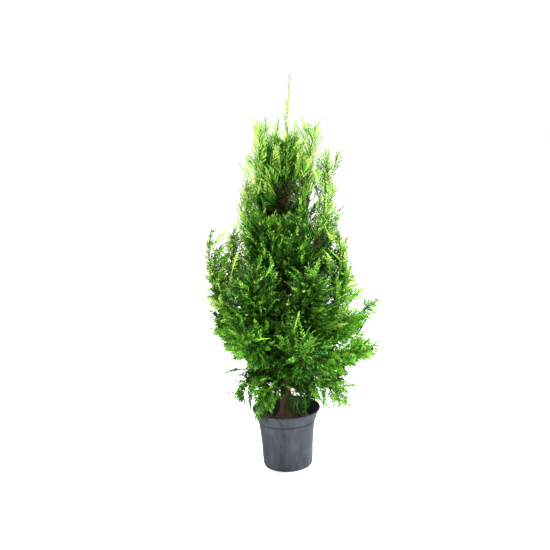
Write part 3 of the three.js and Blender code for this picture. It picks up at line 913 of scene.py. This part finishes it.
# %% Shoots on the leader's tip
def sprays_on_tip():
    """A few thin shoots on the bare top of the leader, closer to upright than those below."""
    height = np.linspace(leader_high.z - 42 * MM, trunk_top - 24 * MM, 7)
    turn = np.arange(len(height)) * GOLDEN_ANGLE + 0.6
    way = unit(0.2 * level_ways(turn) + UP)
    length = np.linspace(92, 22, len(height)) * MM
    face = rolled(way, chance.uniform(0, math.pi, len(height)))
    bend = 0.1 * chance.normal(size=way.shape)
    tone = np.full(len(height), 3.2)
    return Shoots(trunk_at(height), way, face, bend, length, tone, np.full(len(height), LEADER))


tips = sprays_on_tip()
print("shoots on the tip", len(tips.length), "longest in mm", round(float(tips.length.max() / MM)))


# %% [markdown]
# ## Side shoots
# On a thuja every shoot branches in the plane of its spray, left and right by turns. So the side twigs of a
# spray, and the short fingers of each side twig, come from one rule used twice. A real twig bears many more
# fingers than these. They are spaced out, and the slender twigs of the top have next to none, so that the
# whole crown stays light enough to draw.

# %% The branching rule
def numbered(count):
    """For parents with these counts of children: each child's parent, and its place among its brothers."""
    owner = np.repeat(np.arange(len(count)), count)
    return owner, np.arange(len(owner)) - np.repeat(np.cumsum(count) - count, count)


def side_shoots(parents, leafy, gap, longest, open_degrees, forward, droop, paler):
    """Side shoots at each parent's gap along the leafy end of the parents, left and right by turns.

    Each leaves at the open angle in its parent's plane and swings forward again. Its length is the longest
    times an outline that is full a quarter of the way up and runs out to the tip. Towards the tip of their
    parent they get paler, by steps of tone.
    """
    leafy = np.minimum(leafy, 0.94 * parents.length)
    count = (leafy / gap).astype(int)
    owner, order = numbered(count)
    place = (order + chance.uniform(0.2, 0.8, len(owner))) / count[owner]
    share = 1 - leafy[owner] / parents.length[owner] * (1 - 0.9 * place)
    along = parents.along(share, owner)
    face = square_to(parents.face[owner], along)
    hand = np.where(order % 2 == 0, 1.0, -1.0)[:, None]
    across = np.cross(face, along) * hand
    angle = np.radians(open_degrees[owner] + chance.normal(0, 4, len(owner)))[:, None]
    way = np.cos(angle) * along + np.sin(angle) * across + 0.06 * chance.normal(size=(len(owner), 3))
    outline = np.clip(0.5 + 2.2 * place, 0, 1) * (1 - place) ** 0.7
    length = longest[owner] * outline * chance.uniform(0.75, 1.1, len(owner))
    length = np.maximum(length, longest[owner] * 0.25)
    bend = forward * along - droop[owner][:, None] * UP
    tone = parents.tone[owner] + paler * (place - 0.5)
    return Shoots(parents.point(share, owner), way, face, bend, length, tone, parents.limb[owner])


def habit_of(shoots, name):
    """The trait of each shoot's limb."""
    return trait(name)[shoots.limb]


LOOSER = 1.3  # the space between the twigs of the sprays that stand out, against the others'
spray_leafy = habit_of(sprays, "leafy") * MM
longest_twig = np.minimum(habit_of(sprays, "longest") * MM, 0.42 * np.minimum(spray_leafy, sprays.length))
twig_space = habit_of(sprays, "space") * MM
twig_space[-len(outer.length):] *= LOOSER
side_twigs = side_shoots(sprays, spray_leafy, twig_space, longest_twig, habit_of(sprays, "fork"),
                         forward=0.3, droop=habit_of(sprays, "droop"), paler=2.4)
longest_finger = np.minimum(habit_of(side_twigs, "finger") * MM, 0.5 * side_twigs.length)
fingers = side_shoots(side_twigs, side_twigs.length, habit_of(side_twigs, "gap") * MM, longest_finger,
                      0.9 * habit_of(side_twigs, "fork"),
                      forward=0.3, droop=0.3 * habit_of(side_twigs, "droop"), paler=0.8)
tip_twigs = side_shoots(tips, tips.length, 11 * MM, all_alike(tips, 7 * MM), all_alike(tips, 30),
                        forward=0.2, droop=all_alike(tips, 0), paler=1.0)
print("side twigs", len(side_twigs.length), "fingers", len(fingers.length))


# %% [markdown]
# ## Leaves
# The scales of a thuja wrap its twigs, so a twig with its leaves is one flat green ribbon that narrows to its
# tip. It could be made of single scales, but a few faces give its outline at this size: two halves that meet
# in a ridge, so that one half catches the light while the other is in shade. A real ribbon is about 2 mm
# across; these are a little wider, so that fewer of them close the crown. Fingers have one shoulder on each
# side, side twigs two, and the outer half of a spray's own axis four. All the leaves of a mass are one
# piece, which replaces that mass's solid.

# %% Leaf pieces
def folded(shoots, width, shoulders, fold=0.3):
    """A folded leaf on each shoot: base, right shoulders, tip, left shoulders, with a ridge base to tip.

    The shoulders stand half a width out, at their shares of the length, and a little below the ridge.
    """
    width = np.reshape(width, (-1, 1))
    across = np.cross(shoots.face, shoots.way) * (width / 2)
    under = shoots.face * width * fold
    spine = [shoots.point(all_alike(shoots, share)) - under for share in shoulders]
    base, tip = shoots.point(all_alike(shoots, 0)), shoots.point(all_alike(shoots, 1))
    right = [middle - across for middle in spine]
    left = [middle + across for middle in reversed(spine)]
    return np.stack([base, *right, tip, *left], axis=1)


def folded_faces(first, number, shoulders):
    """The two halves of each folded leaf, right and left of its ridge."""
    corner = first + np.arange(number)[:, None] * (2 + 2 * shoulders)
    right = corner + np.arange(shoulders + 2)
    left = corner + np.append(0, np.arange(shoulders + 1, 2 * shoulders + 2))
    return np.concatenate([right, left])


def dealt_tints(shoots, spread):
    """Each leaf's tint for both halves: its tone and a little chance, which flecks painted highlights, as a
    whole number.
    """
    tone = shoots.tone + chance.normal(0, spread, len(shoots.length))
    return np.tile(np.clip(np.rint(tone), BRONZE, LIME).astype(int), 2)


def leaf_piece(name, replaced, finishes, groups):
    """One mesh of all the groups' leaves. A group is shoots, width and the shoulders' shares."""
    points, faces, tints, first = [], [], [], 0
    for shoots, width, shoulders in groups:
        corners = folded(shoots, width, shoulders)
        points.append(corners.reshape(-1, 3))
        faces.append(folded_faces(first, len(corners), len(shoulders)))
        tints.append(dealt_tints(shoots, 0.9))
        first += corners.size // 3
    return piece(name, np.concatenate(points), faces, finishes, replaced, np.concatenate(tints))


AXIS_LEAF, TWIG_LEAF, FINGER_LEAF = (0.1, 0.35, 0.6, 0.85), (0.2, 0.75), (0.5,)
axes = sprays.outer(0.5)
leaf_triangles = 0
for number, name in enumerate(limb_names):
    wide = HABITS[limb_tiers[number]]["wide"] * MM
    groups = [
        (axes.only(axes.limb == number), 0.85 * wide, AXIS_LEAF),
        (side_twigs.only(side_twigs.limb == number), wide, TWIG_LEAF),
        (fingers.only(fingers.limb == number), 0.9 * wide, FINGER_LEAF),
    ]
    if number == LEADER:
        groups += [(tips, 1.2 * MM, TWIG_LEAF), (tip_twigs, 1.8 * MM, FINGER_LEAF)]
    finishes = LOWER_TINTS if limb_tiers[number] in ("lower", "skirt") else LEAF_TINTS
    made = leaf_piece("leaves_" + name, ["foliage_" + name], finishes, groups)
    leaf_triangles += len(made.data.loops) - 2 * len(made.data.polygons)
print("leaf triangles", leaf_triangles)


# %% [markdown]
# ## Twigs
# The middle line of each spray is a thin twig, brown where it leaves the limb and green further out. A tube
# with three sides is enough for something so thin. All the twigs of a tier are one piece.

# %% Twig pieces
def tube_points(centre, along, face, radius, sides):
    """Rings round rows of centres: centre + radius · (cos a · face + sin a · across), one point to a side."""
    across = np.cross(along, face)
    turn = np.arange(sides) * 2 * math.pi / sides
    ring = np.cos(turn)[:, None] * face[..., None, :] + np.sin(turn)[:, None] * across[..., None, :]
    return centre[..., None, :] + radius[..., None, None] * ring


def twig_piece(name, shoots, thickness, finishes, steps=4, sides=3):
    """Tubes along the shoots, which taper to a third, with both ends closed.

    The first step of each takes the first finish and the rest the second.
    """
    number = len(shoots.length)
    shares = np.linspace(0, 1, steps + 1)
    centre = np.stack([shoots.point(all_alike(shoots, share)) for share in shares], axis=1)
    along = np.stack([shoots.along(all_alike(shoots, share)) for share in shares], axis=1)
    face = square_to(np.broadcast_to(shoots.face[:, None, :], along.shape), along)
    radius = np.broadcast_to(thickness / 2 * (1 - 0.66 * shares), (number, steps + 1))
    points = tube_points(centre, along, face, radius, sides)
    one = grid_faces(steps + 1, sides)
    first = np.arange(number)[:, None, None] * (steps + 1) * sides
    walls = (first + one).reshape(-1, 4)
    start_cap = np.arange(sides)[::-1]
    end_cap = steps * sides + np.arange(sides)
    caps = (first + np.stack([start_cap, end_cap])).reshape(-1, sides)
    wall_tints = np.where(np.arange(len(one)) < sides, 0, 1)
    tints = np.concatenate([np.tile(wall_tints, number), np.tile([0, 1], number)])
    return piece(name, points, [walls, caps], finishes, (), tints, smooth=True)


tier_numbers = {tier: [k for k, own in enumerate(limb_tiers) if own == tier] for tier in TIERS}
for tier, numbers in tier_numbers.items():
    own_sprays = sprays.only(np.isin(sprays.limb, numbers))
    made = twig_piece("twigs_" + tier, own_sprays, 1.8 * MM, [TWIG_BARK, LEAF_TINTS[DEEP]])
    print(made.name, len(made.data.polygons), "faces")


# %% [markdown]
# ## Bare twigs
# Inside the crown the trunk keeps the dry twigs whose leaves have died in the shade. They show as a brown
# tangle wherever the crown is open, so they come from the same rule as the sprays, with no leaves on them.
# The shoots of the leader's tip are thin and green all along, so they are a piece apart.

# %% Dead twigs on the trunk
def dead_twigs(number, lowest, highest, longest):
    """Bare brown twigs left on the shaded trunk, each with a few side shoots of its own."""
    height, turn = chance.uniform(lowest, highest, number), chance.uniform(0, 2 * math.pi, number)
    out = level_ways(turn)
    way = unit(out + chance.uniform(0.1, 1.2, (number, 1)) * UP)
    length = longest * chance.uniform(0.4, 1, number)
    bend = 0.3 * chance.normal(size=(number, 3))
    bare = Shoots(trunk_at(height), way, np.cross(way, out[:, [1, 0, 2]] + UP), bend, length, 0 * length,
                  np.full(number, LEADER))
    spurs = side_shoots(bare, length, 11 * MM, 0.4 * length, all_alike(bare, 42),
                        forward=0.1, droop=all_alike(bare, 0), paler=0)
    return joined(bare, spurs)


below_leader = leader_low.z - 0.2
bare_twigs = joined(
    dead_twigs(110, below_leader, leader_low.z + 0.05, longest=85 * MM),
    dead_twigs(90, 0.23, 0.5, longest=120 * MM),
    dead_twigs(140, 0.5, below_leader, longest=110 * MM),
)
twig_piece("twigs_bare", bare_twigs, 1.6 * MM, [TWIG_BARK, TWIG_BARK])
twig_piece("twigs_tip", tips, 1.0 * MM, [LEAF_TINTS[BRIGHT], LEAF_TINTS[BRIGHT]])
print("bare twigs", len(bare_twigs.length), "on the tip", len(tips.length))


# %% [markdown]
# ## Bark on the trunk
# Thuja bark comes away in long narrow strips. A bump in the finish would do for the threads, but the strips
# change the outline too. So the trunk is a fine tube round the frame's own middle line, and its radius rises
# and falls with ridges that are much longer than they are wide. The foot flares into its roots, and the tip
# is young wood that is still green.

# %% The trunk
def tube_piece(name, paths, sides, ridge_cells, ridge_height, replaced, finishes=(BARK,), ages=None, seed=3):
    """Tubes along paths of (centres, radii, level), closed at both ends: radius · (1 + height · ridges).

    The ridges are 0.7 of strips, folded up from smooth relief, and 0.3 of threads half their size. Level is
    the direction that the first corner of every ring turns to. Ages give each row of faces its finish.
    """
    points, faces, caps, first = [], [], [], 0
    for number, (centres, radii, level) in enumerate(paths):
        rows = len(centres)
        tangent = unit(np.gradient(centres, axis=0))
        face = square_to(np.broadcast_to(level, centres.shape), tangent)
        cells = np.maximum(np.array(ridge_cells) * [rows / 100, 1], 3).astype(int)
        strips = 1 - np.abs(2 * relief(rows, sides, *cells, seed + number) - 1)
        threads = relief(rows, sides, *(cells * 2), seed + 50 + number)
        height = ridge_height * (0.7 * strips + 0.3 * threads - 0.5)
        ring = tube_points(centres, tangent, face, np.ones(rows), sides) - centres[:, None, :]
        points.append(centres[:, None, :] + ring * (radii[:, None] * (1 + height))[..., None])
        faces.append(grid_faces(rows, sides, first))
        caps += [first + np.arange(sides)[::-1], first + (rows - 1) * sides + np.arange(sides)]
        first += rows * sides
    points = np.concatenate([block.reshape(-1, 3) for block in points])
    tints = None if ages is None else np.concatenate([np.repeat(ages, sides), ages[[0, -1]]])
    sets = [np.concatenate(faces), np.array(caps)]
    return piece(name, points, sets, finishes, replaced, tints, smooth=True)


leader_rise = leader_high.z - leader_low.z
heights = np.linspace(trunk_foot, trunk_top, 420)
slimmer = 1 - 0.3 * eased((heights - leader_low.z) / leader_rise)
flare = 1 + 0.3 * np.exp((trunk_foot - heights) / (22 * MM))
thick_foot = 1.2 - 0.2 * eased((heights - 0.25) / 0.25)
trunk_radius = np.interp(heights, trunk_levels, trunk_radii) * slimmer * flare * thick_foot
trunk_path = (trunk_at(heights), trunk_radius, np.array([1.0, 0, 0]))
trunk_ages = np.digitize(heights[:-1], [leader_low.z, leader_low.z + 0.45 * leader_rise])
trunk_bark = tube_piece("trunk_bark", [trunk_path], sides=64, ridge_cells=(9, 16), ridge_height=0.22,
                        replaced=["trunk"], finishes=(BARK, TWIG_BARK, YOUNG_STEM), ages=trunk_ages)
print("trunk faces", len(trunk_bark.data.polygons))


# %% [markdown]
# ## Bark on the boughs
# A bough is a younger trunk: the same strips, redder and finer, on a limb that starts in the middle of the
# trunk, follows the frame's bough and thins out along the line that bears its sprays. The same tube maker
# does for both. Its path is made of equal steps first, so that the ridges don't stretch.

# %% The boughs
def evenly(points, values, count):
    """A path's points and values at equal steps of its length."""
    run = np.concatenate([[0], np.cumsum(np.linalg.norm(np.diff(points, axis=0), axis=1))])
    at = np.linspace(0, run[-1], count)
    spread = np.stack([np.interp(at, run, points[:, k]) for k in range(3)], axis=1)
    return spread, np.interp(at, run, values)


def bough_path(number, count=90):
    """From the middle of the trunk through the frame's bough and on along the limb nearly to its tip.

    Four rounds of (before + 2 · point + after) / 4 take the corner off the way in.
    """
    before, end = bough_before[number], bough_end[number]
    root = trunk_at(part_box("bough_" + bough_names[number])[0].z)
    shares = np.linspace(0, 0.9, 24)
    inside = limbs.point(shares, np.full(len(shares), number))
    points = np.concatenate([[root, before], inside])
    thin = end_radius[number] * (1 - 0.8 * shares)
    radii = np.concatenate([[before_radius[number] * 1.5, before_radius[number]], thin])
    points, radii = evenly(points, radii, count)
    for _ in range(4):
        points[1:-1] = (points[:-2] + 2 * points[1:-1] + points[2:]) / 4
    return points, radii, unit(np.cross(UP, bough_tip[number] - root))


for tier in TIERS[1:]:
    numbers = tier_numbers[tier]
    replaced = ["bough_" + bough_names[k] for k in numbers]
    made = tube_piece("bough_bark_" + tier, [bough_path(k) for k in numbers], sides=14, ridge_cells=(14, 7),
                      ridge_height=0.22, replaced=replaced, finishes=[TWIG_BARK])
    print(made.name, len(made.data.polygons), "faces")


# %% [markdown]
# ## The pot
# A blow-moulded nursery pot is thin all over: a tapered body, a groove under a ledge, and above it a collar
# that opens like a bell to a rolled lip. It could be bent from a cylinder with modifiers, but one closed
# outline of the wall, turned round the axis, gives every radius as it is measured.

# %% The pot's outline
pot_low, pot_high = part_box("pot")
RIM, POT_TOP = pot_high.x, pot_high.z
LEDGE = POT_TOP * 0.8
WALL = 2.2 * MM
GROOVE = 2.2 * MM
FOOT_RADIUS, BODY_RADIUS, COLLAR_RADIUS = (RIM * share for share in (0.7167, 0.8417, 0.8667))


def pot_outline():
    """Radius and height pairs, up the outside, over the lip and down the inside, in metres.

    The bell's radius grows with its height to the power 1.25, and the lip is a round bead. Also gives which
    of the pairs are on the outside of the body.
    """
    t = np.linspace(0, 1, 24)
    body = np.stack([FOOT_RADIUS + (BODY_RADIUS - FOOT_RADIUS) * t, (LEDGE - GROOVE) * t], axis=1)
    body[0] += [-2 * MM, 0]
    groove = body[-1] + np.array([[-0.9 * GROOVE, 0.2 * GROOVE], [-0.9 * GROOVE, 0.9 * GROOVE], [0, GROOVE]])
    body = np.concatenate([body, groove])
    bell_t = np.linspace(0.04, 1, 16)
    lip_low = POT_TOP - 6 * MM
    bell_radius = COLLAR_RADIUS + (RIM - 3 * MM - COLLAR_RADIUS) * bell_t**1.25
    bell = np.stack([bell_radius, LEDGE + (lip_low - LEDGE) * bell_t], axis=1)
    turn = np.linspace(-math.pi / 2, math.pi * 0.75, 8)
    lip = np.stack([RIM - 3 * MM + 3 * MM * np.cos(turn), POT_TOP - 3 * MM + 3 * MM * np.sin(turn)], axis=1)
    inner_bell = bell[::-1] - [WALL, 0]
    inner_body = body[::-1][1:-1] - [WALL, 0]
    floor = 2.6 * MM
    inner_foot = [[FOOT_RADIUS - WALL, floor + 2 * MM], [FOOT_RADIUS - WALL - 2 * MM, floor]]
    foot = [[FOOT_RADIUS - 4 * MM, 0]]
    outline = np.concatenate([foot, body, bell, lip, inner_bell, inner_body, inner_foot])
    outside = np.arange(len(outline)) <= len(body)
    return outline, outside


def turned(outline, sides, shift=None):
    """The outline turned round the axis: x = r cos a, y = r sin a, with a point at each pole.

    Shift changes the radius at each place of the grid.
    """
    angle = np.arange(sides) * 2 * math.pi / sides
    radius = outline[:, 0][:, None] + (0 if shift is None else shift)
    radius = np.broadcast_to(radius, (len(outline), sides))
    height = np.broadcast_to(outline[:, 1][:, None], radius.shape)
    grid = np.stack([radius * np.cos(angle), radius * np.sin(angle), height], axis=-1).reshape(-1, 3)
    last = (len(outline) - 1) * sides
    start_pole, end_pole = len(grid), len(grid) + 1
    points = np.concatenate([grid, [[0, 0, outline[0, 1]], [0, 0, outline[-1, 1]]]])
    j = np.arange(sides)
    after = (j + 1) % sides
    start_fan = np.stack([after, j, np.full(sides, start_pole)], axis=1)
    end_fan = np.stack([last + j, last + after, np.full(sides, end_pole)], axis=1)
    return points, [grid_faces(len(outline), sides), np.concatenate([start_fan, end_fan])]


# %% [markdown]
# ## The pot's panels
# Four wide, shallow panels and many fine ribs stiffen the thin wall, and they catch the light as upright
# bands. They are part of the same surface: the outside wall is pressed in by angle and by height.

# %% The pot's panels
POT_SIDES = 240
PANELS = 4
PANEL_DEPTH = 2.6 * MM
RIBS, RIB_HEIGHT = 64, 0.12 * MM


def panel_shift(outline, outside):
    """How far each place of the outside wall moves: in, by panels that fade downwards, and by cosine ribs."""
    angle = np.arange(POT_SIDES) * 2 * math.pi / POT_SIDES
    height = (outline[:, 1] / LEDGE)[:, None]
    panel_turn = (angle + math.pi / PANELS) % (2 * math.pi / PANELS) - math.pi / PANELS
    half_width = 0.5 + 0.1 * height
    across = eased((half_width - np.abs(panel_turn)[None, :]) / 0.03)
    down = eased((0.94 - height) / 0.02) * eased((height - 0.12) / 0.4)
    rib = RIB_HEIGHT * np.cos(RIBS * angle)[None, :] * eased((0.95 - height) / 0.05)
    return np.where(outside[:, None], -PANEL_DEPTH * across * down + rib, 0)


outline, outside = pot_outline()
pot_points, pot_faces = turned(outline, POT_SIDES, panel_shift(outline, outside))
pot = piece("pot_shell", pot_points, pot_faces, [PLASTIC], ["pot"], smooth=True)
print("pot faces", len(pot.data.polygons), "rim radius in mm", round(RIM / MM))


# %% [markdown]
# ## The compost
# Compost settles a little below the ledge and lies in crumbs. It is a disc of rings whose height rises and
# falls in two sizes of lump, carried down the pot's inside so that nothing is hollow.

# %% The compost bed
compost_low, compost_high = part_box("compost")
BED_SIDES = 200


def bed_points():
    """Rings from the foot up the inside of the pot and in over the surface, which sinks 6 mm at the wall.

    The surface rises and falls by two reliefs, large lumps and small crumbs, and is calm at middle and rim.
    """
    inside, rings = compost_high.x, 70
    share = np.linspace(1, 0.02, rings)
    surface = np.stack([inside * share, trunk_foot - 6 * MM * share**3], axis=1)
    foot = [[inside * 0.84, compost_low.z], [inside * 0.845, compost_low.z + 1 * MM]]
    outline = np.concatenate([foot, surface])
    points, faces = turned(outline, BED_SIDES)
    lumps = 7 * MM * (relief(rings, BED_SIDES, 14, 40, seed=5) - 0.5)
    crumbs = 2.6 * MM * (relief(rings, BED_SIDES, 50, 130, seed=6) - 0.5)
    calm = eased(share / 0.2) * eased((1 - share) / 0.03)
    rise = np.zeros((len(outline), BED_SIDES))
    rise[len(foot):] = (lumps + crumbs) * calm[:, None]
    points[:rise.size, 2] += rise.ravel()
    return points, faces


bed_corners, bed_faces = bed_points()
bed = piece("compost_bed", bed_corners, bed_faces, [COMPOST], ["compost"], smooth=True)
print("compost faces", len(bed.data.polygons))


# %% [markdown]
# ## Floor and light
# The plant stands on a plain white floor in soft daylight. A white sky gives most of the light. A strong lamp
# high on the right makes the direction, one high behind rims the tips, two weak ones in front and on the left
# open the shade, and a small low one lights the pot. The standard view keeps the greens clean.

# %% Stage
def floor_disc(radius=12.0, sides=96):
    """A flat, nearly white disc under the pot, which isn't part of the plant."""
    rim = radius * level_ways(np.arange(sides) * 2 * math.pi / sides)
    mesh = bpy.data.meshes.new("floor")
    mesh.from_pydata(rim.tolist(), [], [list(range(sides))])
    made = bpy.data.objects.new("floor", mesh)
    bpy.context.scene.collection.objects.link(made)
    material = bpy.data.materials.new("white_floor")
    material.use_nodes = True
    shader = material.node_tree.nodes["Principled BSDF"]
    shader.inputs["Base Color"].default_value = (0.95, 0.95, 0.95, 1)
    shader.inputs["Roughness"].default_value = 0.9
    shader.inputs["Specular IOR Level"].default_value = 0.0
    mesh.materials.append(material)


def lamp(name, place, target, size, power, colour=(1, 1, 1)):
    """A square lamp at a place that shines at a target."""
    data = bpy.data.lights.new(name, "AREA")
    data.size, data.energy, data.color = size, power, colour
    made = bpy.data.objects.new(name, data)
    made.location = place
    made.rotation_euler = (Vector(target) - Vector(place)).to_track_quat("-Z", "Y").to_euler()
    bpy.context.scene.collection.objects.link(made)


scene = bpy.context.scene
middle = (cad_low + cad_high) / 2
floor_disc()
lamp("key_light", (2.1, 0.4, 3.0), middle, size=1.2, power=390)
lamp("back_light", (-1.6, 2.2, 3.2), middle, size=1.2, power=200)
lamp("front_light", (1.8, -2.4, 2.2), middle, size=1.6, power=25)
lamp("side_light", (-2.6, -1.4, 1.4), middle, size=1.6, power=40)
lamp("low_light", (-0.9, -1.5, 0.5), (0, 0, 0.1), size=0.5, power=5)
sky = bpy.data.worlds.new("white_sky")
sky.use_nodes = True
sky.node_tree.nodes["Background"].inputs["Color"].default_value = (1, 1, 1, 1)
sky.node_tree.nodes["Background"].inputs["Strength"].default_value = 1.06
scene.world = sky
scene.view_settings.view_transform = "Standard"


# %% [markdown]
# ## Camera
# The camera stands three and a half metres in front, a little higher than the plant, and looks down on the
# compost in the pot. It is rolled by a couple of degrees, as a hand-held one is. Its matrix is the product of
# a shift to its place, the turn that looks down and the roll.

# %% Camera
CAMERA_PLACE = (-0.0208575, -3.45, 1.5)  # metres
LOOK_DOWN = 0.2315  # radians below level
ROLL = -0.04  # radians
LENS = 68.0  # mm, on the usual 36 mm wide film

camera_data = bpy.data.cameras.new("camera")
camera_data.lens = LENS
camera = bpy.data.objects.new("camera", camera_data)
scene.collection.objects.link(camera)
camera.matrix_world = (Matrix.Translation(CAMERA_PLACE)
                       @ Matrix.Rotation(math.pi / 2 - LOOK_DOWN, 4, "X") @ Matrix.Rotation(ROLL, 4, "Z"))
scene.camera = camera
print("camera at", CAMERA_PLACE, "looks down by", round(math.degrees(LOOK_DOWN), 1), "degrees")
